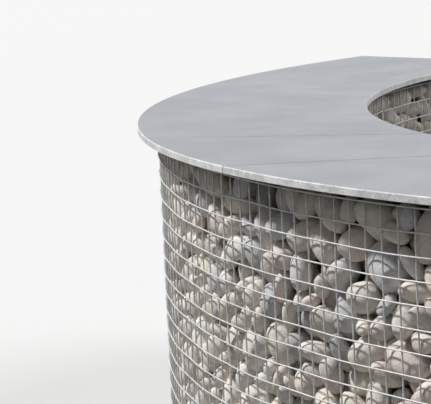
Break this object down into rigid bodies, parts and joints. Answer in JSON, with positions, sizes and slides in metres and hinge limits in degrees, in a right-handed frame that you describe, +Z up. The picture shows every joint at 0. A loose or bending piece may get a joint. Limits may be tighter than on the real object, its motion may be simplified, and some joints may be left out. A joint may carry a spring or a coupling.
{
  "type": "gabion wall",
  "caption": "Free-standing curved gabion wall: bays of welded mesh baskets packed with rounded cobbles, under an overhanging coping of thin stone slabs.",
  "frame": {"origin": "on the ground, under the middle of the wall's length and thickness", "axes": "+Z up; -Y points out of the round outer face at the middle of the wall; +X along the wall to the right, seen from outside"},
  "size_m": [3.3492, 1.1355, 0.942],
  "materials": {
    "galvanised_wire": "galvanised, dull",
    "cobbles": "rounded, matt",
    "mortar": "rough",
    "slab_stone": "sawn, matt, paler cut edge"
  },
  "bodies": {
    "root": {"outer_mesh_1": "galvanised_wire", "inner_mesh_1": "galvanised_wire", "stone_fill_1": "cobbles", "mortar_bed_1": "mortar", "outer_mesh_2": "galvanised_wire", "inner_mesh_2": "galvanised_wire", "stone_fill_2": "cobbles", "mortar_bed_2": "mortar", "outer_mesh_3": "galvanised_wire", "inner_mesh_3": "galvanised_wire", "stone_fill_3": "cobbles", "mortar_bed_3": "mortar", "outer_mesh_4": "galvanised_wire", "inner_mesh_4": "galvanised_wire", "stone_fill_4": "cobbles", "mortar_bed_4": "mortar", "left_end_mesh": "galvanised_wire", "right_end_mesh": "galvanised_wire", "coping_slab_1": "slab_stone", "coping_slab_2": "slab_stone", "coping_slab_3": "slab_stone", "coping_slab_4": "slab_stone", "coping_slab_5": "slab_stone", "coping_slab_6": "slab_stone"}
  },
  "joints": []
}
